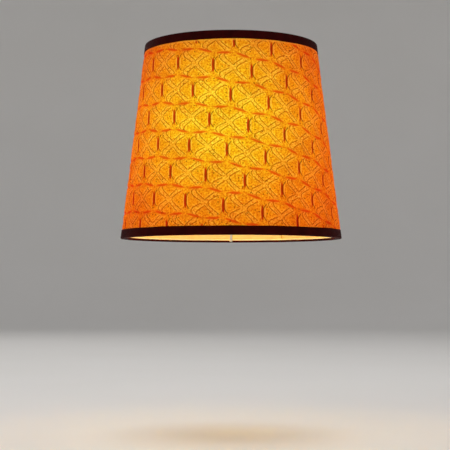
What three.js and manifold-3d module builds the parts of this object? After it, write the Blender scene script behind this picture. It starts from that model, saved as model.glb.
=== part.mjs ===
// A hardback table-lamp shade: a tapered drum of embossed fabric laminated to a PVC liner, closed by one
// glued lap, stiffened by a wire ring at each rim, edged with dark folded ribbon, and carried on a pressed
// washer and three wire spokes that sit on the shoulder of an E27 lampholder.
// Millimetres, +Z up. The origin is the centre of the bottom rim, in the plane that the shade stands on.
import * as THREE from "three";
import { mergeVertices } from "three/addons/utils/BufferGeometryUtils.js";
import Module from "manifold-3d";

// Overall sizes, measured over the ribbon.
const bottomDiameter = 230;
const topDiameter = 180;
const shadeHeight = 202;

// Sheet goods.
const linerThickness = 0.5;
const fabricThickness = 1.0;
const ribbonThickness = 0.5;
const ribbonBand = 9; // height of the ribbon on the outside of the shade
const ribbonFold = 0.8; // outer radius of the ribbon's folded corners
const lapWidth = 10; // overlap of the laminate, measured at the bottom rim
const lapTapeThickness = 0.2;
const lapTapeMargin = 1; // how far the tape stays inside the lap on each side

// Wire frame.
const ringWire = 3.0;
const spokeWire = 2.8;
const spokeCount = 3;
const spokeLanding = 5; // how far a spoke's end lies over the washer
const spokeRun = 4; // from a spoke's low end to its low bend
const spokeRunOff = 6; // from the washer's edge to a spoke's high bend
const spokeBend = 6; // how far each bend reaches to either side of its corner
const fitterBore = 42;
const fitterLand = 4; // left clear round the bore for the lampholder's own ring
const fitterThickness = 1.2;
const fitterHeight = 30; // underside of the washer above the bottom rim

// Clearances.
const glueGap = 0.1; // between sheets laid on each other with the same facets
const wireGap = 0.3; // between a wire and its neighbour
const ribbonGap = 0.15; // between the ribbon and the laminate's face or edge

// Angles, in degrees from +X towards +Y.
const seamAngle = 60; // where the lap starts, beside the rear spoke
const rearAngle = 90; // the first spoke points to the rear, and the others follow evenly

// How finely round pieces are faceted.
const ringSteps = 72;
const washerSteps = 48;
const wireSides = 8;
const spokeSteps = 28;

const degrees = Math.PI / 180;
const taper = (bottomDiameter - topDiameter) / 2 / shadeHeight;
const lean = Math.sqrt(1 + taper * taper); // horizontal width of a unit thickness on the sloping wall
const outside = (z) => bottomDiameter / 2 - z * taper;
const atDepth = (z, depth) => outside(z) - depth * lean;

// Depths of each face behind the outside of the ribbon.
const fabricFace = ribbonThickness + ribbonGap;
const fabricBack = fabricFace + fabricThickness;
const linerFace = fabricBack + glueGap;
const linerBack = linerFace + linerThickness;
const edgeInset = ribbonThickness + ribbonGap; // the laminate's edges stay this far inside the folds

// The washer is wide enough for the land and the spokes' ends.
const fitterDiameter = fitterBore + 2 * (fitterLand + spokeLanding);

// The rings lie inside the liner, one just above each fold.
const bottomRingHeight = edgeInset + ringWire / 2;
const topRingHeight = shadeHeight - bottomRingHeight;
const ringCentre = (z) => atDepth(z, linerBack) - wireGap - ringWire / 2;

// The lap: the sheet's end climbs outwards by one laminate and the tape, and lies over its start.
const lapRise = (linerThickness + glueGap + fabricThickness + lapTapeThickness + 2 * glueGap) * lean;
const lapTurn = lapWidth / (bottomDiameter / 2) / degrees;
const climbTurn = 5;
const dropTurn = 2;
const mainStep = 360 / ringSteps;

const smooth = (t) => t * t * (3 - 2 * t);
const clamp01 = (t) => Math.min(1, Math.max(0, t));

// Turns from the seam at which every sheet has a row of points, so that the facets of nested sheets agree.
function sheetTurns() {
  const turns = [0, lapTurn / 2, lapTurn, lapTurn + dropTurn / 2, lapTurn + dropTurn];
  const climbStart = 360 - climbTurn;
  const count = Math.round((climbStart - turns.at(-1)) / mainStep);
  const first = turns.at(-1);
  for (let i = 1; i <= count; i++) turns.push(first + ((climbStart - first) * i) / count);
  for (const share of [0.25, 0.5, 0.75]) turns.push(climbStart + climbTurn * share);
  return turns;
}

// How far the laminate stands out at a turn: none, then the climb, then on top of its own start.
const sheetRise = (turn) => lapRise * smooth(clamp01((turn - 360 + climbTurn) / climbTurn));

// How far the outermost surface stands out there, which the ribbon follows.
function surfaceRise(turn) {
  if (turn >= 360 - climbTurn) return sheetRise(turn);
  return lapRise * (1 - smooth(clamp01((turn - lapTurn) / dropTurn)));
}

// A point of the part from a turn past the seam, a radius and a height.
function polar(turn, radius, z) {
  const angle = (seamAngle + turn) * degrees;
  return new THREE.Vector3(radius * Math.cos(angle), radius * Math.sin(angle), z);
}

// Joins closed outlines of equal length into one body, as a loop or with a face at each end.
function loft(outlines, closed) {
  const size = outlines[0].length;
  const positions = outlines.flat().flatMap((p) => [p.x, p.y, p.z]);
  const index = [];
  const spans = closed ? outlines.length : outlines.length - 1;
  for (let i = 0; i < spans; i++) {
    const here = i * size;
    const next = ((i + 1) % outlines.length) * size;
    for (let j = 0; j < size; j++) {
      const k = (j + 1) % size;
      // Each quad is split from its lower corner here to its upper corner next, so nested sheets agree.
      const rises = outlines[i][j].z <= outlines[i][k].z;
      if (rises) index.push(here + j, next + j, next + k, here + j, next + k, here + k);
      else index.push(here + j, next + j, here + k, next + j, next + k, here + k);
    }
  }
  if (!closed) {
    const last = (outlines.length - 1) * size;
    for (let j = 1; j < size - 1; j++) {
      index.push(0, j, j + 1);
      index.push(last, last + j + 1, last + j);
    }
  }
  const geometry = new THREE.BufferGeometry();
  geometry.setAttribute("position", new THREE.Float32BufferAttribute(positions, 3));
  geometry.setIndex(index);
  geometry.computeVertexNormals();
  return geometry;
}

// One layer of the laminate: round the shade once, then on over its own start to the end of the lap.
function laminateLayer(face, back) {
  const low = edgeInset;
  const high = shadeHeight - edgeInset;
  const turns = sheetTurns();
  const overlap = turns.filter((turn) => turn <= lapTurn).map((turn) => turn + 360);
  const outlines = [...turns, ...overlap].map((turn) => {
    const rise = sheetRise(turn);
    return [
      polar(turn, atDepth(low, back) + rise, low),
      polar(turn, atDepth(low, face) + rise, low),
      polar(turn, atDepth(high, face) + rise, high),
      polar(turn, atDepth(high, back) + rise, high),
    ];
  });
  return loft(outlines, false);
}

// The double-sided tape that holds the two ends of the laminate together.
function lapTape() {
  const margin = (lapTapeMargin / lapWidth) * lapTurn;
  const low = ribbonBand;
  const high = shadeHeight - ribbonBand;
  const inner = glueGap * lean;
  const outer = inner + lapTapeThickness * lean;
  const outlines = [margin, lapTurn / 2, lapTurn - margin].map((turn) => [
    polar(turn, atDepth(low, fabricFace) + inner, low),
    polar(turn, atDepth(low, fabricFace) + outer, low),
    polar(turn, atDepth(high, fabricFace) + outer, high),
    polar(turn, atDepth(high, fabricFace) + inner, high),
  ]);
  return loft(outlines, false);
}

// The folded ribbon's section: down the outside, under the edge and the ring, up behind the ring and back
// over it to the liner. up gives a true height from a height above the fold, for either rim.
function ribbonOutline(turn, up) {
  const rise = surfaceRise(turn);
  const fold = ribbonFold;
  const corner = fold * (1 - Math.SQRT1_2);
  const t = ribbonThickness;
  const face = (h, depth) => [atDepth(up(h), depth) + rise, h];
  const ringZ = up(bottomRingHeight);
  const behind = ringCentre(ringZ) - ringWire / 2 - wireGap - t; // the face seen from inside the shade
  const over = bottomRingHeight + ringWire / 2 + ribbonGap + t; // the top of the return
  const liner = atDepth(up(over), linerBack) - wireGap;
  const edge = outside(up(0)) + rise;
  const points = [
    face(ribbonBand, t),
    face(ribbonBand, 0),
    face(fold, 0),
    [edge - corner, corner],
    [edge - fold, 0],
    [behind + fold, 0],
    [behind + corner, corner],
    [behind, fold],
    [behind, over - fold],
    [behind + corner, over - corner],
    [behind + fold, over],
    [liner, over],
    [liner, over - t],
    [behind + t, over - t],
    [behind + t, t],
    face(t, t),
  ];
  return points.map(([radius, h]) => polar(turn, radius, up(h)));
}

function ribbon(up, flipped) {
  const outlines = sheetTurns().map((turn) => ribbonOutline(turn, up));
  if (flipped) outlines.forEach((outline) => outline.reverse());
  return loft(outlines, true);
}

// A wire ring of round section.
function wireRing(z) {
  const radius = ringCentre(z);
  const section = Array.from({ length: wireSides + 1 }, (_, i) => {
    const angle = ((i % wireSides) / wireSides) * 2 * Math.PI;
    return new THREE.Vector2(radius + (ringWire / 2) * Math.cos(angle), (ringWire / 2) * Math.sin(angle));
  });
  return new THREE.LatheGeometry(section, ringSteps).rotateX(Math.PI / 2).translate(0, 0, z);
}

// The pressed washer that seats on the lampholder, with its edges broken.
function fitterWasher() {
  const bore = fitterBore / 2;
  const rim = fitterDiameter / 2;
  const top = fitterThickness;
  const broken = fitterThickness / 4;
  const section = [
    [bore + broken, 0],
    [rim - broken, 0],
    [rim, broken],
    [rim, top - broken],
    [rim - broken, top],
    [bore + broken, top],
    [bore, top - broken],
    [bore, broken],
    [bore + broken, 0],
  ].map(([x, y]) => new THREE.Vector2(x, y));
  return new THREE.LatheGeometry(section, washerSteps).rotateX(Math.PI / 2).translate(0, 0, fitterHeight);
}

// A spoke in the plane y = 0: level off the ring, up the slope, and level again over the washer.
function spoke() {
  const ringZ = bottomRingHeight;
  const washerZ = fitterHeight + fitterThickness + wireGap + spokeWire / 2;
  const start = ringCentre(ringZ) - ringWire / 2 - wireGap;
  const end = fitterDiameter / 2 - spokeLanding;
  const lowBend = start - spokeRun;
  const highBend = fitterDiameter / 2 + spokeRunOff;
  const slope = new THREE.Vector3(highBend - lowBend, 0, washerZ - ringZ).normalize();
  const lowCorner = new THREE.Vector3(lowBend, 0, ringZ);
  const highCorner = new THREE.Vector3(highBend, 0, washerZ);
  const lowEntry = new THREE.Vector3(lowBend + spokeRun * 0.75, 0, ringZ);
  const lowExit = lowCorner.clone().addScaledVector(slope, spokeBend);
  const highEntry = highCorner.clone().addScaledVector(slope, -spokeBend);
  const highExit = new THREE.Vector3(highBend - spokeBend, 0, washerZ);
  const path = new THREE.CurvePath();
  path.add(new THREE.LineCurve3(new THREE.Vector3(start, 0, ringZ), lowEntry));
  path.add(new THREE.QuadraticBezierCurve3(lowEntry, lowCorner, lowExit));
  path.add(new THREE.LineCurve3(lowExit, highEntry));
  path.add(new THREE.QuadraticBezierCurve3(highEntry, highCorner, highExit));
  path.add(new THREE.LineCurve3(highExit, new THREE.Vector3(end, 0, washerZ)));
  const section = new THREE.Shape();
  for (let i = 0; i < wireSides; i++) {
    const angle = ((i + 0.5) / wireSides) * 2 * Math.PI;
    const x = (spokeWire / 2) * Math.cos(angle);
    const y = (spokeWire / 2) * Math.sin(angle);
    if (i === 0) section.moveTo(x, y);
    else section.lineTo(x, y);
  }
  return new THREE.ExtrudeGeometry(section, { steps: spokeSteps, extrudePath: path });
}

const wasm = await Module();
wasm.setup();

function toSolid(geometry) {
  const bare = new THREE.BufferGeometry().setAttribute("position", geometry.getAttribute("position"));
  if (geometry.index) bare.setIndex(geometry.index);
  const merged = mergeVertices(bare, 1e-4);
  return new wasm.Manifold(
    new wasm.Mesh({
      numProp: 3,
      vertProperties: merged.getAttribute("position").array,
      triVerts: new Uint32Array(merged.index.array),
    }),
  );
}

function toGeometry(solid) {
  const mesh = solid.getMesh();
  const geometry = new THREE.BufferGeometry();
  geometry.setAttribute("position", new THREE.BufferAttribute(mesh.vertProperties, 3));
  geometry.setIndex(new THREE.BufferAttribute(mesh.triVerts, 1));
  geometry.computeVertexNormals();
  return geometry;
}

const spokeAngles = Array.from({ length: spokeCount }, (_, i) => rearAngle + (360 / spokeCount) * i);

// The ribbon is slit where a spoke leaves the ring, and its return is open there.
function slitForSpokes(ribbonGeometry) {
  const ringZ = bottomRingHeight;
  const past = 1; // how far the slit runs past the ribbon, so that it opens it fully
  const low = ringZ - spokeWire / 2 - wireGap / 2;
  const high = ringZ + ringWire / 2 + ribbonGap + ribbonThickness + past;
  const inner = ringCentre(ringZ) - ringWire / 2 - wireGap - ribbonThickness - past;
  const outer = atDepth(high, linerBack) - ribbonGap;
  const width = spokeWire + 2 * wireGap;
  let cut = toSolid(ribbonGeometry);
  for (const angle of spokeAngles) {
    const slit = new THREE.BoxGeometry(outer - inner, width, high - low)
      .translate((outer + inner) / 2, 0, (high + low) / 2)
      .rotateZ(angle * degrees);
    cut = cut.subtract(toSolid(slit));
  }
  return toGeometry(cut);
}

const material = (color, roughness, metalness = 0) =>
  new THREE.MeshStandardMaterial({ color, roughness, metalness });
const fabricMaterial = material(0xe08a24, 0.85);
const linerMaterial = material(0xf3e3bd, 0.45);
const ribbonMaterial = material(0x1c100c, 0.5);
const tapeMaterial = material(0xe9dfc6, 0.6);
const frameMaterial = material(0xe9e5da, 0.35);

const shade = new THREE.Group();

function addPiece(name, geometry, pieceMaterial) {
  const mesh = new THREE.Mesh(geometry, pieceMaterial);
  mesh.name = name;
  shade.add(mesh);
  return mesh;
}

const fromBottom = (h) => h;
const fromTop = (h) => shadeHeight - h;

addPiece("shade_fabric", laminateLayer(fabricFace, fabricBack), fabricMaterial);
addPiece("shade_liner", laminateLayer(linerFace, linerBack), linerMaterial);
addPiece("lap_tape", lapTape(), tapeMaterial);
addPiece("bottom_ribbon", slitForSpokes(ribbon(fromBottom, true)), ribbonMaterial);
addPiece("top_ribbon", ribbon(fromTop, false), ribbonMaterial);
addPiece("bottom_ring", wireRing(bottomRingHeight), frameMaterial);
addPiece("top_ring", wireRing(topRingHeight), frameMaterial);
addPiece("fitter_washer", fitterWasher(), frameMaterial);
spokeAngles.forEach((angle, i) => {
  addPiece(`spoke_${i + 1}`, spoke(), frameMaterial).rotation.z = angle * degrees;
});

export default shade;
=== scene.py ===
# A tapered table-lamp shade, lit from inside: embossed jacquard laminated to a PVC liner, closed by one
# lap, with dark ribbon folded over two wire rims and a washer on three wire spokes.
# Metres, +Z up, front at -Y. The origin is the centre of the bottom rim.
import math

import bpy
import numpy as np
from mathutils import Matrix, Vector


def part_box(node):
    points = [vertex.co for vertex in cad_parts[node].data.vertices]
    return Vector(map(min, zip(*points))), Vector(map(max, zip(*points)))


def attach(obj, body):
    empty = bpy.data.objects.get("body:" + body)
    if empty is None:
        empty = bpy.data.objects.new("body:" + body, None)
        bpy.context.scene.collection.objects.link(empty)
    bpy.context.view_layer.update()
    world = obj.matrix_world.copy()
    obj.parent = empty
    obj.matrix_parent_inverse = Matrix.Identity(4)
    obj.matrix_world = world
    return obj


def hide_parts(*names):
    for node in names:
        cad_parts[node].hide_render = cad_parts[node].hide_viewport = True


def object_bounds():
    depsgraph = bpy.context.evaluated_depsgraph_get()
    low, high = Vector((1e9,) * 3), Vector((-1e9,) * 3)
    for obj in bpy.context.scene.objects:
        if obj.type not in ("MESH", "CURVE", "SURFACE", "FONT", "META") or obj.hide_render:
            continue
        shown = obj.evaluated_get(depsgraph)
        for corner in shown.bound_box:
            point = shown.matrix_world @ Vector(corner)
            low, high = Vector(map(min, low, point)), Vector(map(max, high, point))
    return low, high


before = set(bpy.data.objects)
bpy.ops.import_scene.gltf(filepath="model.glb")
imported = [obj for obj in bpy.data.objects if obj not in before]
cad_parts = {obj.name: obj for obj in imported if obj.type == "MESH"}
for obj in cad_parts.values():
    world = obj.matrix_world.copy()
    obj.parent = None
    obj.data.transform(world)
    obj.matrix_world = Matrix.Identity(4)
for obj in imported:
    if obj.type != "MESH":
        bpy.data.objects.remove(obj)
cad_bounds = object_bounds()

MM = 0.001

# Overall shape, read from the CAD parts.
SHADE_HEIGHT = cad_bounds[1].z
BOTTOM_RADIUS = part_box("bottom_ribbon")[1].x
TOP_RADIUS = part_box("top_ribbon")[1].x
RIBBON_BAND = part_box("bottom_ribbon")[1].z
SHEET_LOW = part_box("shade_fabric")[0].z
SHEET_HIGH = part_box("shade_fabric")[1].z
WASHER_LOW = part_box("fitter_washer")[0].z
WASHER_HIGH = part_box("fitter_washer")[1].z
WASHER_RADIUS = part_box("fitter_washer")[1].x

TAPER = (BOTTOM_RADIUS - TOP_RADIUS) / (SHADE_HEIGHT - RIBBON_BAND)
LEAN = math.hypot(1, TAPER)
HALF_ANGLE = math.atan(TAPER)
APEX_HEIGHT = BOTTOM_RADIUS / TAPER

# Sheet goods.
RIBBON_THICK = 0.5 * MM
RIBBON_GAP = 0.15 * MM
FABRIC_THICK = 1.0 * MM
GLUE_GAP = 0.1 * MM
LINER_THICK = 0.5 * MM
TAPE_THICK = 0.2 * MM
FABRIC_FACE = RIBBON_THICK + RIBBON_GAP
FABRIC_BACK = FABRIC_FACE + FABRIC_THICK
LINER_FACE = FABRIC_BACK + GLUE_GAP
LINER_BACK = LINER_FACE + LINER_THICK

# Wire frame.
RING_WIRE = 3.0 * MM
SPOKE_WIRE = 2.8 * MM
WIRE_GAP = 0.3 * MM
WASHER_BORE = 42 * MM
SPOKE_LANDING = 5 * MM
SPOKE_ANGLES = [math.radians(90 + 120 * i) for i in range(3)]
RING_HEIGHT = SHEET_LOW + RING_WIRE / 2

# The lap. Turns are angles from the seam, in radians.
FULL_TURN = 2 * math.pi
SEAM_ANGLE = math.radians(60)
FRONT_ANGLE = math.radians(270)
LAP_WIDTH = 10 * MM
LAP_RADIUS = 115 * MM
LAP_TURN = LAP_WIDTH / LAP_RADIUS
SHEET_TURN = FULL_TURN + LAP_TURN
LAP_RISE = (LINER_THICK + FABRIC_THICK + TAPE_THICK + 3 * GLUE_GAP) * LEAN
CLIMB_TURN = math.radians(5)
DROP_TURN = math.radians(2)

# Places on a flat cut are kept as UV coordinates.
MILLIMETRES_PER_UV = 100.0
UV_PER_METRE = 10


def outside_radius(z):
    return BOTTOM_RADIUS - z * TAPER


def radius_at_depth(z, depth):
    return outside_radius(z) - depth * LEAN


def ring_radius(z):
    """The radius of the middle line of a wire ring at height z, inside the liner."""
    return radius_at_depth(z, LINER_BACK) - WIRE_GAP - RING_WIRE / 2


def smooth_step(t):
    t = np.clip(t, 0, 1)
    return t * t * (3 - 2 * t)


# ---------------------------------------------------------------- the jacquard's repeat, in millimetres
# Distances across and down the flat cut. Rows of cells slope by ROW_SLOPE, and in the sheared frame
# (across, down - ROW_SLOPE * across) a cell mirrors top to bottom, so only its upper half is listed.
CELL_WIDTH = 38.2
ROW_STEP = 27.64
ROW_SHIFT = 17.33
ROW_SLOPE = 6.27 / 38.2
STROKE_ABOVE_RIM = 138.0
DASH_SHIFT = 8.66
LOBE_OUTLINES = [
    [(-4.2, 14.6), (-7.4, 13.4), (-8.7, 11.4), (-7.4, 9.0), (-4.4, 6.5), (-0.6, 3.5)],
    [(-11.6, 11.6), (-13.2, 10.0), (-13.0, 7.9), (-11.4, 5.9), (-8.0, 3.7), (-3.6, 1.0)],
    [(0.4, 2.7), (2.5, 4.9), (9.2, 10.9)],
    [(3.5, 0.0), (4.7, 2.4), (8.3, 5.3), (13.6, 8.9)],
]
BAND_CENTRES = [
    [
        (-10.6, 13.4), (-10.9, 9.9), (-9.0, 6.6), (-5.0, 3.6),
        (-1.2, 1.4), (1.8, 1.6), (6.0, 5.6), (11.6, 10.2),
    ],
]

# The padded relief: how far from a line, a cell's side or a cell's edge the cloth takes to rise.
LINE_RISE = 4.2
SIDE_RISE = 3.6
EDGE_RISE = 3.0
SIDE_SEAM_RISE = 1.6
SIDE_SPREAD = 0.10
EDGE_SPREAD = 0.02
BAND_HALF_WIDTH = 2.6
BAND_SHOULDER = 1.2
BAND_SHARE = 0.45


def polyline_segments(lines):
    return [(np.array(a), np.array(b)) for line in lines for a, b in zip(line[:-1], line[1:])]


def fold_to_cell(across, down):
    """The place inside the nearest cell, in the sheared frame, for arrays of places on the flat cut."""
    sheared = down - ROW_SLOPE * across
    row = np.round(sheared / ROW_STEP)
    in_row = across - ROW_SHIFT * row
    column = np.round(in_row / CELL_WIDTH)
    return in_row - CELL_WIDTH * column, np.abs(sheared - ROW_STEP * row)


def distance_to(segments, x, y):
    nearest = np.full(x.shape, 1e3)
    for a, b in segments:
        along = b - a
        t = np.clip(((x - a[0]) * along[0] + (y - a[1]) * along[1]) / along.dot(along), 0, 1)
        nearest = np.minimum(nearest, np.hypot(x - a[0] - t * along[0], y - a[1] - t * along[1]))
    return nearest


def relief(across, down):
    """How far the cloth stands out, from 0 in the seams to 1 on the crown of a lobe."""
    x, y = fold_to_cell(across, down)
    lines = distance_to(polyline_segments(LOBE_OUTLINES), x, y)
    bands = distance_to(polyline_segments(BAND_CENTRES), x, y)
    side = np.abs(CELL_WIDTH / 2 - np.abs(x)) + SIDE_SPREAD * y
    edge = np.abs(ROW_STEP / 2 - y) + EDGE_SPREAD * np.abs(x)
    lobe = smooth_step(lines / LINE_RISE) * smooth_step(side / SIDE_RISE) * smooth_step(edge / EDGE_RISE)
    band = BAND_SHARE * smooth_step((BAND_HALF_WIDTH - bands) / BAND_SHOULDER)
    return np.maximum(lobe, band) * smooth_step(side / SIDE_SEAM_RISE)


def flat_cut(turn, z):
    """Where a point of the cone lies on the flat cut, in millimetres from the front stroke's cell centre."""
    around = (SEAM_ANGLE + turn - FRONT_ANGLE) * math.sin(HALF_ANGLE)
    slant = (APEX_HEIGHT - z) / math.cos(HALF_ANGLE)
    stroke_slant = APEX_HEIGHT / math.cos(HALF_ANGLE) - STROKE_ABOVE_RIM * MM
    across = slant * np.sin(around) / MM - CELL_WIDTH / 2
    down = (slant * np.cos(around) - stroke_slant) / MM - ROW_SLOPE * CELL_WIDTH / 2
    return across, down


# ---------------------------------------------------------------- meshes
def new_object(name, vertices, faces, smooth_angle=40):
    mesh = bpy.data.meshes.new(name)
    mesh.from_pydata(np.asarray(vertices).tolist(), [], faces)
    mesh.validate()
    mesh.polygons.foreach_set("use_smooth", [True] * len(mesh.polygons))
    mesh.set_sharp_from_angle(angle=math.radians(smooth_angle))
    mesh.update()
    obj = bpy.data.objects.new(name, mesh)
    bpy.context.collection.objects.link(obj)
    return obj


def set_uv(obj, per_vertex):
    layer = obj.data.uv_layers.new(name="cut")
    corners = np.empty(len(obj.data.loops), np.int32)
    obj.data.loops.foreach_get("vertex_index", corners)
    layer.data.foreach_set("uv", np.asarray(per_vertex)[corners].astype(np.float32).ravel())


def polar(angle, radius, z):
    return np.stack([radius * np.cos(angle), radius * np.sin(angle), z + 0 * radius], -1)


def sheet_rise(turn):
    return LAP_RISE * smooth_step((turn - FULL_TURN + CLIMB_TURN) / CLIMB_TURN)


def surface_rise(turn):
    climbing = sheet_rise(turn)
    dropping = LAP_RISE * (1 - smooth_step((turn - LAP_TURN) / DROP_TURN))
    return np.where(turn >= FULL_TURN - CLIMB_TURN, climbing, dropping)


def sheet_faces(columns, rows):
    """The face's quads, then the back and the edges. The back has only its two end rows of points."""
    width = columns + 1
    faces = []
    for row in range(rows):
        for column in range(columns):
            a = row * width + column
            faces.append((a, a + 1, a + width + 1, a + width))
    top = rows * width
    back = top + width
    for column in range(columns):
        low = back + column
        high = low + width
        faces.append((low, high, high + 1, low + 1))
        faces.append((column, low, low + 1, column + 1))
        faces.append((top + column, top + column + 1, high + 1, high))
    left = [row * width for row in range(rows + 1)]
    right = [row * width + columns for row in range(rows + 1)]
    faces.append((back, *left, back + width))
    faces.append((back + width + columns, *right[::-1], back + columns))
    return faces


def wrapped_sheet(name, face, back, columns, rows, stand_out=None):
    """A sheet wrapped once round the cone and on over its own start. stand_out gives its face's relief."""
    turn = np.linspace(0, SHEET_TURN, columns + 1)
    z = np.linspace(SHEET_LOW, SHEET_HIGH, rows + 1)
    turns, heights = np.meshgrid(turn, z)
    rise = sheet_rise(turns)
    across, down = flat_cut(turns, heights)
    outer = radius_at_depth(heights, face) + rise
    if stand_out is not None:
        outer = outer + stand_out(turns, heights, across, down)
    ends = [0, rows]
    inner = radius_at_depth(heights[ends], back) + rise[ends]
    outer_points = polar(SEAM_ANGLE + turns, outer, heights).reshape(-1, 3)
    inner_points = polar(SEAM_ANGLE + turns[ends], inner, heights[ends]).reshape(-1, 3)
    obj = new_object(name, np.concatenate([outer_points, inner_points]), sheet_faces(columns, rows))
    places = np.stack([across, down], -1)
    both_sides = np.concatenate([places.reshape(-1, 2), places[ends].reshape(-1, 2)])
    set_uv(obj, both_sides / MILLIMETRES_PER_UV)
    return obj


# ---------------------------------------------------------------- fabric and liner
FABRIC_COLUMNS = 560
FABRIC_ROWS = 162
LINER_COLUMNS = 360
LINER_ROWS = 6
RELIEF_CROWN = 0.42 * MM
RELIEF_FLOOR = -0.30 * MM
PRESSED_IN = 0.05 * MM
RIBBON_CLEARANCE = 0.2 * MM
RIBBON_FADE = 2.2 * MM
LAP_CLEARANCE_TURN = math.radians(0.2)
LAP_FADE_TURN = math.radians(1.2)


def fabric_relief(turns, heights, across, down):
    """The padded relief, pressed flat under the ribbons and under the lap."""
    from_rim = np.minimum(heights, SHADE_HEIGHT - heights)
    free = smooth_step((from_rim - RIBBON_BAND - RIBBON_CLEARANCE) / RIBBON_FADE)
    free = free * smooth_step((turns - LAP_TURN - LAP_CLEARANCE_TURN) / LAP_FADE_TURN)
    padded = RELIEF_FLOOR + (RELIEF_CROWN - RELIEF_FLOOR) * relief(across, down)
    return free * padded - (1 - free) * PRESSED_IN


def fabric_slots(polygon_count):
    """Each polygon's material: 0 the face, 1 the glued side and the edges, 2 the face under the lap."""
    face_count = FABRIC_COLUMNS * FABRIC_ROWS
    columns = np.arange(face_count) % FABRIC_COLUMNS
    under_lap = (columns + 1) / FABRIC_COLUMNS * SHEET_TURN < LAP_TURN
    slots = np.ones(polygon_count, np.int32)
    slots[:face_count] = np.where(under_lap, 2, 0)
    return slots


def build_fabric():
    obj = wrapped_sheet(
        "fabric_skin", FABRIC_FACE, FABRIC_BACK, FABRIC_COLUMNS, FABRIC_ROWS, fabric_relief
    )
    for material in (fabric_material(), laminate_back_material(), under_lap_material()):
        obj.data.materials.append(material)
    polygons = obj.data.polygons
    polygons.foreach_set("material_index", fabric_slots(len(polygons)))
    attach(obj, "root")
    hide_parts("shade_fabric")
    return obj


def build_liner():
    obj = wrapped_sheet("pvc_liner", LINER_FACE, LINER_BACK, LINER_COLUMNS, LINER_ROWS)
    obj.data.materials.append(painted_warm_liner_material())
    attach(obj, "root")
    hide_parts("shade_liner")


# ---------------------------------------------------------------- ribbons
RIBBON_COLUMNS = 360
RIBBON_FOLD = 0.8 * MM
RIBBON_OVERLAP_TURN = math.radians(5.5)
RIBBON_OVERLAP_LIFT = 0.35 * MM
RIBBON_TUCK = 2.1 * MM
RIBBON_TUCK_AT_SPOKE = 0.66 * MM
RIBBON_CUT_RADIUS = 110 * MM
EDGE_WAVER = 0.15 * MM
WAVER_CYCLES = (3, 7, 12, 19)
WAVER_STRENGTH = 0.8
SLIT_RADIUS = 108 * MM
SLIT_HALF_TURN = (SPOKE_WIRE / 2 + WIRE_GAP) / SLIT_RADIUS
STEP_HALF_TURN = 0.0007
STEP_CLEARANCE_TURN = math.radians(0.45)
RIBBON_SMOOTH_ANGLE = 50


def ribbon_columns(with_slits):
    """Turns of the ribbon's columns: even, with close pairs that keep the overlap and the slits steep."""
    turns = set(np.linspace(0, FULL_TURN, RIBBON_COLUMNS + 1)[:-1].round(6))
    edges = [RIBBON_OVERLAP_TURN]
    if with_slits:
        for angle in SPOKE_ANGLES:
            centre = (angle - SEAM_ANGLE) % FULL_TURN
            edges += [centre - SLIT_HALF_TURN, centre + SLIT_HALF_TURN]
    for edge in edges:
        turns = {t for t in turns if abs(t - edge) > STEP_CLEARANCE_TURN}
        turns |= {round(edge - STEP_HALF_TURN, 6), round(edge + STEP_HALF_TURN, 6)}
    return np.array(sorted(turns))


def open_at_spokes(turn):
    offsets = [(turn + SEAM_ANGLE - angle + math.pi) % FULL_TURN - math.pi for angle in SPOKE_ANGLES]
    return any(abs(offset) < SLIT_HALF_TURN for offset in offsets)


def arc(centre, radius, start, end, steps):
    angles = np.radians(np.linspace(start, end, steps + 1))
    return [(centre[0] + radius * math.cos(a), centre[1] + radius * math.sin(a)) for a in angles]


def outer_outline(side, band):
    """From the ribbon's upper edge down its outside, to where the fold begins."""
    t = RIBBON_THICK
    shoulder = band - 0.1 * MM
    outline = [(side(shoulder, t), shoulder)]
    outline += [(side(band, 0.75 * t), band), (side(band, 0.2 * t), band)]
    outline += [(side(h, 0.02 * t), h) for h in np.linspace(band - 0.15 * MM, RIBBON_FOLD * 1.3, 7)]
    return outline


def tuck_outline(behind, tuck):
    """Round the inner fold, up the tuck behind the ring, over its end and down again."""
    t = RIBBON_THICK
    shoulder = tuck - 0.12 * MM
    outline = arc((behind + RIBBON_FOLD, RIBBON_FOLD), RIBBON_FOLD, 270, 205, 4)
    outline += [(behind, shoulder), (behind + 0.25 * t, tuck), (behind + 0.75 * t, tuck)]
    outline += [(behind + t, shoulder), (behind + t + 0.1 * MM, t + 0.05 * MM)]
    return outline


def ribbon_section(turn, up, is_open, waver):
    """The folded ribbon's outline as (radius, height above the fold). It ends tucked under the ring."""
    t = RIBBON_THICK
    fold = RIBBON_FOLD
    lift = RIBBON_OVERLAP_LIFT if turn < RIBBON_OVERLAP_TURN else 0.0
    rise = float(surface_rise(np.float64(turn))) + lift

    def side(h, depth):
        return radius_at_depth(up(h), depth) + rise

    band = RIBBON_BAND - EDGE_WAVER * (1 + math.sin(waver))
    behind = ring_radius(up(RING_HEIGHT)) - RING_WIRE / 2 - WIRE_GAP - t
    edge = side(0, 0)
    middle = (edge + behind) / 2
    outline = outer_outline(side, band)
    for a in np.radians([15, 35, 55, 75, 90]):
        outline.append((edge - fold + fold * math.cos(a), fold - fold * math.sin(a)))
    outline.append((middle, 0.0))
    outline += tuck_outline(behind, RIBBON_TUCK_AT_SPOKE if is_open else RIBBON_TUCK)
    outline += [(middle, t), (side(t, t) - 0.05 * MM, t)]
    outline += [(side(h, t), h) for h in (2 * MM, 5 * MM)]
    return outline


def ribbon_sections(turns, up, with_slits, seed):
    """The outline at each turn, with an edge that wavers a little. All have the same number of points."""
    phases = np.random.default_rng(seed).uniform(0, FULL_TURN, len(WAVER_CYCLES))
    sections = []
    for turn in turns:
        waves = sum(math.sin(cycles * turn + phase) for cycles, phase in zip(WAVER_CYCLES, phases))
        is_open = with_slits and open_at_spokes(turn)
        sections.append(ribbon_section(turn, up, is_open, waves * WAVER_STRENGTH))
    return sections


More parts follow.
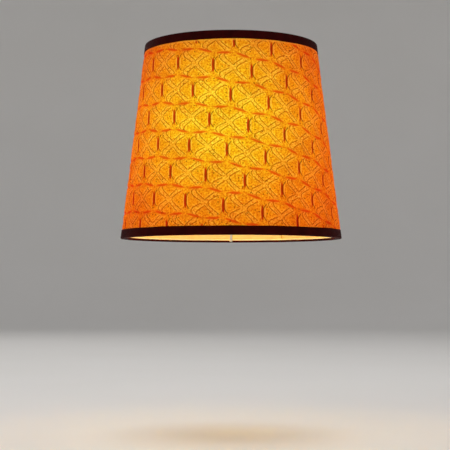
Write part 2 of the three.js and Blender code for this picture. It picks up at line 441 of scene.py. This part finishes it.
def ribbon_points(turns, sections, up):
    """The sections' points in space, and their UV places along and across the ribbon."""
    vertices, places = [], []
    for turn, section in zip(turns, sections):
        angle = SEAM_ANGLE + turn
        run = 0.0
        previous = section[0]
        for radius, h in section:
            run += math.dist(previous, (radius, h))
            previous = (radius, h)
            vertices.append((radius * math.cos(angle), radius * math.sin(angle), up(h)))
            places.append((turn * RIBBON_CUT_RADIUS * UV_PER_METRE, run * UV_PER_METRE))
    return vertices, places


def quads_between(ring_count, size, closed=True):
    """Quads that join rings of size points in a row. Each goes along its ring first, then to the next."""
    quads = []
    for i in range(ring_count if closed else ring_count - 1):
        here, following = i * size, (i + 1) % ring_count * size
        for j in range(size):
            k = (j + 1) % size
            quads.append((here + j, here + k, following + k, following + j))
    return quads


def build_ribbon(name, node, up, flipped, with_slits, seed):
    """A ribbon folded over a rim. up turns a height above the fold into a height in the frame."""
    turns = ribbon_columns(with_slits)
    sections = ribbon_sections(turns, up, with_slits, seed)
    vertices, places = ribbon_points(turns, sections, up)
    faces = quads_between(len(turns), len(sections[0]))
    if flipped:
        faces = [quad[::-1] for quad in faces]
    obj = new_object(name, vertices, faces, RIBBON_SMOOTH_ANGLE)
    set_uv(obj, places)
    obj.data.materials.append(ribbon_material())
    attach(obj, "root")
    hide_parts(node)
    FULL_TURN * outside_radius(up(0))


# ---------------------------------------------------------------- wire frame
RING_STEPS = 240
RING_SIDES = 14
SPOKE_SIDES = 16
DOME_SHARES = (0.55, 0.85)
DOME_FLATNESS = 0.5
WASHER_STEPS = 144
WASHER_ROUND = 0.35 * MM
WASHER_SMOOTH_ANGLE = 30
BEND_REACH = 6 * MM
BEND_STEPS = 8
LOW_BEND_INSIDE_RING = 4 * MM
HIGH_BEND_OUTSIDE_WASHER = 6 * MM
STRAIGHT_STEPS = 16


def frames_along(points, closed):
    """Unit vectors along, across and over a path, at each of its points."""
    if closed:
        along = np.roll(points, -1, 0) - np.roll(points, 1, 0)
    else:
        along = np.gradient(points, axis=0)
    along /= np.linalg.norm(along, axis=1)[:, None]
    across = np.cross(along, np.array([0.0, 0.0, 1.0]))
    across /= np.linalg.norm(across, axis=1)[:, None]
    return along, across, np.cross(across, along)


def add_dome(vertices, faces, first, ring, centre, outward, at_end):
    """Close the end of a tube with two shrinking rings and a polygon. outward is one radius long."""
    sides = len(ring)
    previous = list(range(first, first + sides))
    for share in DOME_SHARES:
        start = len(vertices)
        shrink = math.sqrt(1 - share * share)
        vertices += (centre + outward * share * DOME_FLATNESS + (ring - centre) * shrink).tolist()
        following = list(range(start, start + sides))
        for j in range(sides):
            k = (j + 1) % sides
            quad = (previous[j], following[j], following[k], previous[k])
            faces.append(quad if at_end else quad[::-1])
        previous = following
    faces.append(tuple(previous[::-1]) if at_end else tuple(previous))


def swept_tube(name, path, radius, sides, closed=False):
    """A round bar along a path in space. An open one has domed ends."""
    points = np.asarray(path, float)
    along, across, over = frames_along(points, closed)
    angle = np.linspace(0, FULL_TURN, sides, endpoint=False)[None, :, None]
    rings = points[:, None] + radius * (np.cos(angle) * across[:, None] + np.sin(angle) * over[:, None])
    vertices = rings.reshape(-1, 3).tolist()
    faces = [(a, d, c, b) for a, b, c, d in quads_between(len(points), sides, closed)]
    if not closed:
        last = len(points) - 1
        add_dome(vertices, faces, 0, rings[0], points[0], along[0] * -radius, False)
        add_dome(vertices, faces, last * sides, rings[last], points[last], along[last] * radius, True)
    return new_object(name, vertices, faces)


def build_ring(name, node, z):
    angle = np.linspace(0, FULL_TURN, RING_STEPS, endpoint=False)
    path = polar(angle, np.full(RING_STEPS, ring_radius(z)), z)
    obj = swept_tube(name, path, RING_WIRE / 2, RING_SIDES, closed=True)
    obj.data.materials.append(frame_material())
    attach(obj, "root")
    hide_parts(node)


def lathed(name, outline, steps, smooth_angle):
    """An outline of (radius, z) points turned round the Z axis."""
    vertices = []
    for i in range(steps):
        angle = FULL_TURN * i / steps
        vertices += [(r * math.cos(angle), r * math.sin(angle), z) for r, z in outline]
    faces = [(a, d, c, b) for a, b, c, d in quads_between(steps, len(outline))]
    return new_object(name, vertices, faces, smooth_angle)


def build_washer():
    r = WASHER_ROUND
    inside, outside = WASHER_BORE / 2 + r, WASHER_RADIUS - r
    low, high = r, WASHER_HIGH - WASHER_LOW - r
    outline = []
    for x, z, start in [(outside, low, -90), (outside, high, 0), (inside, high, 90), (inside, low, 180)]:
        outline += [(px, WASHER_LOW + pz) for px, pz in arc((x, z), r, start, start + 90, 3)]
    obj = lathed("fitter_plate", outline, WASHER_STEPS, WASHER_SMOOTH_ANGLE)
    obj.data.materials.append(frame_material())
    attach(obj, "root")
    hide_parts("fitter_washer")


def bend(start, corner, end):
    """A curve from start to end that is pulled towards the corner."""
    t = np.linspace(0, 1, BEND_STEPS + 1)[:, None]
    return (1 - t) ** 2 * start + 2 * t * (1 - t) * corner + t * t * end


def spoke_path():
    """The spoke's middle line as (radius, height) pairs, from the ring to the washer."""
    washer_z = WASHER_HIGH + WIRE_GAP + SPOKE_WIRE / 2
    start = radius_at_depth(RING_HEIGHT, LINER_BACK) - WIRE_GAP - RING_WIRE - WIRE_GAP
    end = WASHER_RADIUS - SPOKE_LANDING
    low_corner = np.array([start - LOW_BEND_INSIDE_RING, RING_HEIGHT])
    high_corner = np.array([WASHER_RADIUS + HIGH_BEND_OUTSIDE_WASHER, washer_z])
    slope = high_corner - low_corner
    slope /= np.linalg.norm(slope)
    low_curve = bend(low_corner + [BEND_REACH / 2, 0], low_corner, low_corner + slope * BEND_REACH)
    high_curve = bend(high_corner - slope * BEND_REACH, high_corner, high_corner - [BEND_REACH, 0])
    middle = np.linspace(low_curve[-1], high_curve[0], STRAIGHT_STEPS)[1:-1]
    return np.concatenate([[[start, RING_HEIGHT]], low_curve, middle, high_curve, [[end, washer_z]]])


def build_spoke(index):
    angle = SPOKE_ANGLES[index]
    path = [(r * math.cos(angle), r * math.sin(angle), z) for r, z in spoke_path()]
    obj = swept_tube(f"spoke_wire_{index + 1}", path, SPOKE_WIRE / 2, SPOKE_SIDES)
    obj.data.materials.append(frame_material())
    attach(obj, "root")
    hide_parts(f"spoke_{index + 1}")


# ---------------------------------------------------------------- materials
class Nodes:
    """A short way to write a material's nodes. A value can be a socket to link or a constant to set."""

    def __init__(self, name):
        self.material = bpy.data.materials.new(name)
        self.material.use_nodes = True
        self.tree = self.material.node_tree
        self.tree.nodes.clear()

    def add(self, kind, **settings):
        node = self.tree.nodes.new(kind)
        for key, value in settings.items():
            setattr(node, key, value)
        return node

    def feed(self, socket, value):
        if isinstance(value, bpy.types.NodeSocket):
            self.tree.links.new(value, socket)
        elif value is not None:
            socket.default_value = value

    def math(self, operation, *values, clamp=False):
        node = self.add("ShaderNodeMath", operation=operation, use_clamp=clamp)
        for i, value in enumerate(values):
            self.feed(node.inputs[i], value)
        return node.outputs[0]

    def vector(self, operation, *values, scale=None):
        node = self.add("ShaderNodeVectorMath", operation=operation)
        for i, value in enumerate(values):
            self.feed(node.inputs[i], value)
        if scale is not None:
            self.feed(node.inputs["Scale"], scale)
        return node.outputs["Value" if operation in ("DOT_PRODUCT", "LENGTH", "DISTANCE") else "Vector"]

    def mix(self, factor, a, b, blend="MIX"):
        node = self.add("ShaderNodeMix", data_type="RGBA", blend_type=blend)
        self.feed(node.inputs["Factor"], factor)
        self.feed(node.inputs["A"], colour(a))
        self.feed(node.inputs["B"], colour(b))
        return node.outputs["Result"]

    def step(self, value, low, high):
        """0 at low, 1 at high, smoothly."""
        node = self.add("ShaderNodeMapRange", interpolation_type="SMOOTHSTEP")
        self.feed(node.inputs["Value"], value)
        node.inputs["From Min"].default_value = low
        node.inputs["From Max"].default_value = high
        return node.outputs["Result"]

    def noise(self, vector, scale, detail=2.0, roughness=0.5):
        node = self.add("ShaderNodeTexNoise")
        self.feed(node.inputs["Vector"], vector)
        node.inputs["Scale"].default_value = scale
        node.inputs["Detail"].default_value = detail
        node.inputs["Roughness"].default_value = roughness
        return node.outputs["Fac"]

    def bump(self, height, distance):
        node = self.add("ShaderNodeBump")
        self.feed(node.inputs["Height"], height)
        node.inputs["Distance"].default_value = distance
        return node.outputs["Normal"]

    def principled(self, colour_value, roughness, normal=None, **sockets):
        node = self.add("ShaderNodeBsdfPrincipled")
        self.feed(node.inputs["Base Color"], colour(colour_value))
        self.feed(node.inputs["Roughness"], roughness)
        self.feed(node.inputs["Normal"], normal)
        for key, value in sockets.items():
            node.inputs[key.replace("_", " ")].default_value = value
        return node.outputs[0]

    def translucent(self, colour_value, normal):
        node = self.add("ShaderNodeBsdfTranslucent")
        self.feed(node.inputs["Color"], colour(colour_value))
        self.feed(node.inputs["Normal"], normal)
        return node.outputs[0]

    def mix_shaders(self, factor, a, b):
        node = self.add("ShaderNodeMixShader")
        self.feed(node.inputs[0], factor)
        self.feed(node.inputs[1], a)
        self.feed(node.inputs[2], b)
        return node.outputs[0]

    def lamp_passes(self, surface, tint):
        """surface as seen, and a tinted clear sheet to rays from lamps."""
        clear = self.add("ShaderNodeBsdfTransparent")
        clear.inputs["Color"].default_value = colour(tint)
        path = self.add("ShaderNodeLightPath")
        return self.mix_shaders(path.outputs["Is Shadow Ray"], surface, clear.outputs[0])

    def finish(self, surface):
        output = self.add("ShaderNodeOutputMaterial")
        self.feed(output.inputs["Surface"], surface)
        return self.material


def colour(value):
    return (*value, 1.0) if isinstance(value, tuple) and len(value) == 3 else value


def cut_place(n):
    """The place on the flat cut in millimetres, as a vector."""
    uv = n.add("ShaderNodeUVMap", uv_map="cut")
    return n.vector("SCALE", uv.outputs[0], scale=MILLIMETRES_PER_UV)


def split(n, vector):
    node = n.add("ShaderNodeSeparateXYZ")
    n.feed(node.inputs[0], vector)
    return node.outputs[0], node.outputs[1]


def join(n, x, y):
    node = n.add("ShaderNodeCombineXYZ")
    n.feed(node.inputs[0], x)
    n.feed(node.inputs[1], y)
    return node.outputs[0]


def segment_distance(n, place, a, b):
    along = b - a
    offset = n.vector("SUBTRACT", place, (*map(float, a), 0.0))
    share = (along / along.dot(along)).tolist()
    t = n.math("ADD", n.vector("DOT_PRODUCT", offset, (*share, 0.0)), 0.0, clamp=True)
    foot = n.vector("SCALE", (*map(float, along), 0.0), scale=t)
    return n.vector("DISTANCE", offset, foot)


def nearest_line(n, place, segments):
    distance = None
    for a, b in segments:
        this = segment_distance(n, place, a, b)
        distance = this if distance is None else n.math("MINIMUM", distance, this)
    return distance


def lens(n, x, y, half_length, half_width, softness):
    """1 inside an upright lens about the origin, falling to 0 across its edge."""
    t = n.math("DIVIDE", y, half_length)
    profile = n.math("SUBTRACT", 1.0, n.math("MULTIPLY", t, t))
    edge = n.math("SUBTRACT", n.math("MULTIPLY", profile, half_width), n.math("ABSOLUTE", x))
    return n.step(edge, -softness, softness)


def lobe_masks(n, in_row, from_row):
    """Lobe crowns, their fine outlines, the pale halo beside an outline, and the bands between lobes."""
    column = n.math("ROUND", n.math("DIVIDE", in_row, CELL_WIDTH))
    x = n.math("MULTIPLY_ADD", column, -CELL_WIDTH, in_row)
    cell = join(n, x, n.math("ABSOLUTE", from_row))
    line = nearest_line(n, cell, polyline_segments(LOBE_OUTLINES))
    band = nearest_line(n, cell, polyline_segments(BAND_CENTRES))
    off_halo = n.math("ABSOLUTE", n.math("SUBTRACT", line, 1.25))
    return {
        "lobe": n.step(line, 1.0, 4.2),
        "line": n.step(line, 0.56, 0.20),
        "halo": n.step(off_halo, 0.65, 0.15),
        "band": n.step(band, 2.2, 1.5),
    }


def curl(n, x, squared_y, bow, offset):
    """The distance from an arc that bows away from a stroke."""
    return n.math("ABSOLUTE", n.math("ADD", n.math("MULTIPLY_ADD", squared_y, bow, x), offset))


def stroke_masks(n, in_row, from_row):
    """Strokes upright on the cut, half a cell to each side, with a curl and pale flanks beside them."""
    shifted = n.math("SUBTRACT", n.math("FRACT", n.math("DIVIDE", in_row, CELL_WIDTH)), 0.5)
    x = n.math("MULTIPLY", shifted, CELL_WIDTH)
    y = n.math("MULTIPLY_ADD", x, ROW_SLOPE, from_row)
    squared = n.math("MULTIPLY", y, y)
    off_middle = n.math("ABSOLUTE", y)
    core = lens(n, n.math("ADD", x, 0.35), y, half_length=8.0, half_width=1.50, softness=0.40)
    ends = n.step(off_middle, 9.0, 7.4)
    tail = n.math("MULTIPLY", n.step(curl(n, x, squared, bow=-0.055, offset=-0.1), 0.80, 0.30), ends)
    back_tail = n.math("MULTIPLY", n.step(curl(n, x, squared, bow=0.035, offset=0.5), 0.70, 0.25), ends)
    off_flank = n.math("ABSOLUTE", n.math("SUBTRACT", n.math("ABSOLUTE", x), 2.1))
    return {
        "stroke": n.math("MAXIMUM", core, n.math("MULTIPLY", back_tail, 0.65)),
        "arc": tail,
        "flank": n.math("MULTIPLY", n.step(off_flank, 0.85, 0.25), n.step(off_middle, 7.6, 5.2)),
    }


def dash_masks(n, across, sheared):
    """Dashes between the rows, alternately falling and rising against the row's own slope."""
    half_cell = CELL_WIDTH / 2
    row = n.math("FLOOR", n.math("DIVIDE", sheared, ROW_STEP))
    y = n.math("SUBTRACT", n.math("MULTIPLY_ADD", row, -ROW_STEP, sheared), ROW_STEP / 2)
    in_row = n.math("SUBTRACT", n.math("MULTIPLY_ADD", row, -ROW_SHIFT, across), DASH_SHIFT)
    column = n.math("ROUND", n.math("DIVIDE", in_row, half_cell))
    x = n.math("MULTIPLY_ADD", column, -half_cell, in_row)
    odd = n.math("ABSOLUTE", n.math("MODULO", column, 2.0))
    tilt = n.math("MULTIPLY_ADD", odd, 0.30, -0.145)
    off_dash = n.math("SUBTRACT", y, n.math("MULTIPLY", x, tilt))
    return {
        "dash": lens(n, off_dash, x, half_length=7.2, half_width=1.15, softness=0.55),
        "dash_halo": lens(n, off_dash, x, half_length=9.8, half_width=2.2, softness=1.1),
    }


def jacquard(n, place):
    """Masks of the figure's parts, each from 0 to 1, by name."""
    across, down = split(n, place)
    sheared = n.math("MULTIPLY_ADD", across, -ROW_SLOPE, down)
    row = n.math("ROUND", n.math("DIVIDE", sheared, ROW_STEP))
    in_row = n.math("MULTIPLY_ADD", row, -ROW_SHIFT, across)
    from_row = n.math("MULTIPLY_ADD", row, -ROW_STEP, sheared)
    masks = lobe_masks(n, in_row, from_row)
    masks.update(stroke_masks(n, in_row, from_row))
    masks.update(dash_masks(n, across, sheared))
    return masks


def specks(n, place, scale, size, share):
    """Scattered slubs: 1 in the middle of a share of the cells of a random net."""
    cells = n.add("ShaderNodeTexVoronoi", feature="F1", voronoi_dimensions="2D")
    n.feed(cells.inputs["Vector"], place)
    cells.inputs["Scale"].default_value = scale
    channels = n.add("ShaderNodeSeparateColor")
    n.feed(channels.inputs[0], cells.outputs["Color"])
    chosen = n.math("LESS_THAN", channels.outputs[0], share)
    return n.math("MULTIPLY", n.step(cells.outputs["Distance"], size, size * 0.5), chosen)


def weave_height(n, place, pitch):
    """Over-and-under threads of a plain weave."""
    across, down = split(n, n.vector("SCALE", place, scale=math.pi / pitch))
    return n.math("MULTIPLY", n.math("SINE", across), n.math("SINE", down))


def object_place(n):
    return n.add("ShaderNodeTexCoord").outputs["Object"]


def painted_glow_under_ribbon(n):
    """1 on the cloth just under the upper ribbon, where a pale line of painted glow is laid."""
    height = n.vector("DOT_PRODUCT", object_place(n), (0.0, 0.0, 1.0))
    trim_edge = SHADE_HEIGHT - RIBBON_BAND
    return n.step(height, trim_edge - 2.0 * MM, trim_edge - 0.8 * MM)


# The cloth's colours by layer: where the lamp shines through it, and where room light falls on it.
THROUGH_COLOURS = {
    "ground": (0.88, 0.490, 0.014),
    "lobe": (0.87, 0.450, 0.010),
    "band": (0.89, 0.515, 0.040),
    "halo": (0.91, 0.550, 0.060),
    "line": (0.36, 0.065, 0.002),
    "dash": (0.72, 0.100, 0.003),
    "flank": (0.95, 0.580, 0.100),
    "stroke": (0.56, 0.022, 0.001),
    "speck": (0.24, 0.055, 0.002),
}
FRONT_COLOURS = {
    "ground": (0.72, 0.30, 0.034),
    "lobe": (0.68, 0.25, 0.020),
    "band": (0.75, 0.34, 0.056),
    "halo": (0.78, 0.38, 0.072),
    "line": (0.22, 0.050, 0.004),
    "dash": (0.50, 0.090, 0.008),
    "flank": (0.78, 0.40, 0.070),
    "stroke": (0.20, 0.010, 0.001),
    "speck": (0.14, 0.040, 0.006),
}

# Layers from the bottom up: a mask, its strength, and the colour that it brings.
WOVEN_LAYERS = [("lobe", 1.0, "lobe"), ("band", 0.8, "band"), ("halo", 0.6, "halo")]
DRAWN_LAYERS = [
    ("flank", 0.75, "flank"),
    ("outline", 1.0, "line"),
    ("dash_halo", 0.28, "dash"),
    ("dash", 0.95, "dash"),
    ("stroke", 0.97, "stroke"),
    ("arc", 0.85, "speck"),
    ("slub", 0.85, "speck"),
    # The rim layer is painted glow: a pale line on the cloth just under the upper ribbon.
    ("rim", 0.55, "flank"),
]

# Uneven dye: a noise, where it begins to show, where it shows fully, and what it multiplies colours by.
FINE_DYE = [
    ("mottle", 0.48, 0.66, (0.92, 0.74, 0.55)),
    ("mottle", 0.50, 0.34, (1.03, 1.16, 1.35)),
    ("fine", 0.49, 0.60, (0.74, 0.44, 0.18)),
    ("fine", 0.47, 0.37, (1.06, 1.30, 2.00)),
]
BROAD_DYE = [("broad", 0.42, 0.68, (0.94, 0.82, 0.72))]


def layered(n, shade, masks, colours, layers):
    for mask, strength, name in layers:
        shade = n.mix(n.math("MULTIPLY", masks[mask], strength), shade, colours[name])
    return shade


def dyed(n, shade, noises, steps):
    for noise, begins, full, factor in steps:
        dark_or_light = n.mix(1.0, shade, factor, "MULTIPLY")
        shade = n.mix(n.step(noises[noise], begins, full), shade, dark_or_light)
    return shade


def cloth_colour(n, masks, noises, colours):
    shade = layered(n, colours["ground"], masks, colours, WOVEN_LAYERS)
    shade = dyed(n, shade, noises, FINE_DYE)
    shade = layered(n, shade, masks, colours, DRAWN_LAYERS)
    return dyed(n, shade, noises, BROAD_DYE)


def cloth_normal(n, place, masks, thread):
    """Thread-scale bump, with outlines and strokes pressed in."""
    groove = n.math("MULTIPLY", masks["line"], -1.0)
    pressed = n.math("MULTIPLY_ADD", masks["stroke"], -1.2, groove)
    weave = n.math("MULTIPLY", weave_height(n, place, pitch=0.55), 0.35)
    body = n.math("MULTIPLY_ADD", thread, 0.5, weave)
    return n.bump(n.math("ADD", pressed, body), 0.22 * MM)


def fabric_material():
    n = Nodes("jacquard_fabric")
    place = cut_place(n)
    noises = {
        "mottle": n.noise(place, scale=0.42, detail=4.0, roughness=0.65),
        "fine": n.noise(place, scale=0.55, detail=4.0, roughness=0.75),
        "broad": n.noise(place, scale=0.035, detail=1.0),
    }
    thread = n.noise(place, scale=3.0)
    masks = jacquard(n, place)
    drawn = n.math("MULTIPLY_ADD", n.step(noises["mottle"], 0.62, 0.40), 0.50, 0.45)
    masks["outline"] = n.math("MULTIPLY", masks["line"], drawn)
    masks["slub"] = specks(n, place, scale=0.25, size=0.22, share=0.13)
    # A painted glow line just under the upper ribbon.
    masks["rim"] = painted_glow_under_ribbon(n)
    normal = cloth_normal(n, place, masks, thread)
    roughness = n.math("MULTIPLY_ADD", thread, 0.2, 0.62)
    front = cloth_colour(n, masks, noises, FRONT_COLOURS)
    cloth = n.principled(front, roughness, normal, Specular_IOR_Level=0.25)
    glow = n.translucent(cloth_colour(n, masks, noises, THROUGH_COLOURS), normal)
    return n.finish(n.mix_shaders(0.78, cloth, glow))


def laminate_back_material():
    """The fabric's glued side, which lets the lamp through to the face."""
    n = Nodes("fabric_glued_side")
    surface = n.principled((0.85, 0.62, 0.30), roughness=0.7)
    return n.finish(n.lamp_passes(surface, (1.0, 1.0, 1.0)))


def under_lap_material():
    """The fabric's face under the lap, which still lets some of the lamp through to the lap."""
    n = Nodes("fabric_under_lap")
    surface = n.principled((0.70, 0.30, 0.03), roughness=0.7)
    return n.finish(n.lamp_passes(surface, (0.62, 0.30, 0.10)))


def painted_warm_liner_material():
    n = Nodes("pvc_liner")
    place = cut_place(n)
    cloud = n.noise(place, scale=0.12, detail=3.0)
    grain = n.noise(place, scale=2.5)
    # The liner is cream PVC, with the warm bulb's light painted into its colour as extra yellow.
    shade = n.mix(n.step(cloud, 0.3, 0.75), (0.93, 0.82, 0.50), (0.87, 0.72, 0.40))
    normal = n.bump(grain, 0.05 * MM)
    plastic = n.principled(shade, n.math("MULTIPLY_ADD", cloud, 0.2, 0.38), normal)
    glow = n.translucent(shade, normal)
    return n.finish(n.lamp_passes(n.mix_shaders(0.3, plastic, glow), (0.97, 0.95, 0.90)))


def ribbon_material():
    n = Nodes("dark_ribbon")
    place = cut_place(n)
    along, across = split(n, place)
    rib_pitch, thread_pitch = 0.8, 0.45
    ribs = n.math("SINE", n.math("MULTIPLY", along, FULL_TURN / rib_pitch))
    threads = n.math("SINE", n.math("MULTIPLY", across, FULL_TURN / thread_pitch))
    fuzz = n.noise(place, scale=2.2, detail=3.0, roughness=0.6)
    cloud = n.noise(place, scale=0.10)
    shade = n.mix(n.step(cloud, 0.3, 0.7), (0.050, 0.0016, 0.0012), (0.030, 0.0010, 0.0008))
    shade = n.mix(n.step(fuzz, 0.5, 0.8), shade, (0.066, 0.0050, 0.0035))
    height = n.math("ADD", ribs, n.math("MULTIPLY_ADD", threads, 0.25, n.math("MULTIPLY", fuzz, 0.8)))
    normal = n.bump(height, 0.10 * MM)
    roughness = n.math("MULTIPLY_ADD", fuzz, 0.25, 0.42)
    return n.finish(n.principled(shade, roughness, normal, Specular_IOR_Level=0.03))


def tape_material():
    n = Nodes("lap_tape_film")
    cloud = n.noise(object_place(n), scale=160.0, detail=3.0)
    shade = n.mix(cloud, (0.84, 0.78, 0.62), (0.92, 0.88, 0.76))
    return n.finish(n.lamp_passes(n.principled(shade, roughness=0.45), (0.9, 0.85, 0.7)))


def frame_material():
    """White epoxy with a few chips, made once and shared by the wires and the washer."""
    if "white_epoxy" in bpy.data.materials:
        return bpy.data.materials["white_epoxy"]
    n = Nodes("white_epoxy")
    place = object_place(n)
    peel = n.noise(place, scale=900.0)
    cloud = n.noise(place, scale=60.0, detail=3.0)
    chips = n.noise(place, scale=420.0, detail=4.0, roughness=0.7)
    shade = n.mix(n.step(cloud, 0.35, 0.7), (0.80, 0.77, 0.69), (0.72, 0.67, 0.56))
    shade = n.mix(n.step(chips, 0.70, 0.74), shade, (0.23, 0.21, 0.19))
    normal = n.bump(peel, 0.04 * MM)
    roughness = n.math("MULTIPLY_ADD", cloud, 0.25, 0.24)
    return n.finish(n.principled(shade, roughness, normal, Coat_Weight=0.15))


# ---------------------------------------------------------------- stage, lights and camera
FLOOR_HEIGHT = -0.203
FLOOR_RADIUS = 3.2
SWEEP_RADIUS = 1.1
SWEEP_STEPS = 16
WALL_TOP = 2.6
STAGE_STEPS = 96
STAGE_SMOOTH_ANGLE = 80


def stage_mesh():
    """Points and faces of a round floor that sweeps up into its own wall, from its middle outwards."""
    sweep = arc((FLOOR_RADIUS, FLOOR_HEIGHT + SWEEP_RADIUS), SWEEP_RADIUS, 270, 360, SWEEP_STEPS)
    profile = [*sweep, (FLOOR_RADIUS + SWEEP_RADIUS, WALL_TOP)]
    size = len(profile)
    vertices = [(0, 0, FLOOR_HEIGHT)]
    faces = []
    for i in range(STAGE_STEPS):
        angle = FULL_TURN * i / STAGE_STEPS
        vertices += [(r * math.cos(angle), r * math.sin(angle), z) for r, z in profile]
        here, following = 1 + i * size, 1 + (i + 1) % STAGE_STEPS * size
        faces.append((0, here, following))
        for j in range(size - 1):
            faces.append((here + j, here + j + 1, following + j + 1, following + j))
    return vertices, faces


def build_stage():
    stage = new_object("studio_sweep", *stage_mesh(), STAGE_SMOOTH_ANGLE)
    n = Nodes("pale_paper")
    cloud = n.noise(object_place(n), scale=3.0, detail=3.0)
    shade = n.mix(cloud, (0.84, 0.83, 0.80), (0.88, 0.87, 0.85))
    stage.data.materials.append(n.finish(n.principled(shade, roughness=0.8, Specular_IOR_Level=0.2)))


def add_light(name, kind, location, energy, tint, size, target=None):
    data = bpy.data.lights.new(name, kind)
    data.energy = energy
    data.color = tint
    if kind == "AREA":
        data.shape = "DISK"
        data.size = size
    else:
        data.shadow_soft_size = size
    light = bpy.data.objects.new(name, data)
    light.location = location
    light.visible_camera = False
    bpy.context.collection.objects.link(light)
    if target is not None:
        direction = Vector(np.array(target) - np.array(location))
        light.rotation_euler = direction.to_track_quat("-Z", "Y").to_euler()
    return light


def set_reach(light, piece, state):
    """Keep a light for one piece (INCLUDE), or from it (EXCLUDE)."""
    group = bpy.data.collections.new(light.name + "_reach")
    group.objects.link(piece)
    group.collection_objects[0].light_linking.link_state = state
    light.light_linking.receiver_collection = group


BULB_PLACE = (-0.005, -0.012, 0.112)
BULB_SIZE = 0.022
GLOW_SIZE = 0.030

# Lamps inside the shade: name, place, energy, tint, size, and whether the cloth is lit or left out.
INNER_LAMPS = [
    ("bulb", BULB_PLACE, 0.50, (1.0, 0.72, 0.23), BULB_SIZE, "EXCLUDE"),
    ("bulb_through_cloth", BULB_PLACE, 0.186, (1.0, 0.69, 0.46), BULB_SIZE, "INCLUDE"),
    ("glow_low", (0, 0, 0.020), 0.47, (1.0, 0.27, 0.02), GLOW_SIZE, "INCLUDE"),
    ("glow_high", (0, 0, 0.185), 0.21, (1.0, 0.03, 0.005), GLOW_SIZE, "INCLUDE"),
]

# Studio lights: name, place, energy, tint, size, and what they are turned to.
SHADE_MIDDLE = (0, 0, SHADE_HEIGHT / 2)
STUDIO_LIGHTS = [
    ("key", (-1.5, -1.9, 1.4), 8, (1.0, 0.97, 0.93), 1.6, SHADE_MIDDLE),
    ("fill", (1.9, -1.2, 0.7), 1.8, (0.95, 0.97, 1.0), 1.8, SHADE_MIDDLE),
    ("rear", (-0.9, 2.2, 1.5), 7, (1.0, 0.98, 0.95), 1.6, SHADE_MIDDLE),
    ("top", (0, 0, 2.3), 30, (1.0, 0.98, 0.96), 2.4, (0, 0.001, 0)),
]


def build_inner_lamps(fabric):
    """A warm bulb for the liner and frame, and lamps of their own for the glow of the cloth."""
    for name, place, energy, tint, size, state in INNER_LAMPS:
        set_reach(add_light(name, "POINT", place, energy, tint, size), fabric, state)
    height = BULB_PLACE[2]
    for name, side in (("glow_front", -1), ("glow_rear", 1)):
        place, target = (0, -0.040 * side, height), (0.09 * side, side, height)
        beam = add_light(name, "AREA", place, 0.112, (0.02, 1.0, 0.46), 0.09, target)
        beam.data.spread = math.radians(90)
        set_reach(beam, fabric, "INCLUDE")


def build_studio_lights():
    """Soft light from all sides, and a faint sky."""
    for name, place, energy, tint, size, target in STUDIO_LIGHTS:
        add_light(name, "AREA", place, energy, tint, size, target)
    world = bpy.data.worlds.new("studio")
    world.use_nodes = True
    sky = world.node_tree.nodes["Background"]
    sky.inputs["Color"].default_value = (0.95, 0.95, 1.0, 1)
    sky.inputs["Strength"].default_value = 0.25
    bpy.context.scene.world = world


def build_camera():
    data = bpy.data.cameras.new("camera")
    data.lens = 102.8
    data.sensor_width = 36
    camera = bpy.data.objects.new("camera", data)
    camera.location = (0.0, -1.338, -0.048)
    camera.rotation_euler = (math.radians(92.678), 0, math.radians(0.27))
    bpy.context.collection.objects.link(camera)
    bpy.context.scene.camera = camera


def dress_tape():
    """The lap tape keeps its CAD mesh and gets a film material."""
    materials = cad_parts["lap_tape"].data.materials
    materials.clear()
    materials.append(tape_material())


def set_light_paths():
    """The light tree dims linked lights, and light has to pass many layers to reach the lap's face."""
    scene = bpy.context.scene
    scene.view_settings.view_transform = "Standard"
    scene.cycles.use_light_tree = False
    scene.cycles.transparent_max_bounces = 16


fabric = build_fabric()
build_liner()
build_ribbon("ribbon_bottom", "bottom_ribbon", lambda h: h, False, True, 3)
build_ribbon("ribbon_top", "top_ribbon", lambda h: SHADE_HEIGHT - h, True, False, 8)
build_ring("ring_wire_bottom", "bottom_ring", RING_HEIGHT)
build_ring("ring_wire_top", "top_ring", SHADE_HEIGHT - RING_HEIGHT)
build_washer()
for i in range(len(SPOKE_ANGLES)):
    build_spoke(i)
dress_tape()
build_stage()
build_inner_lamps(fabric)
build_studio_lights()
build_camera()
set_light_paths()
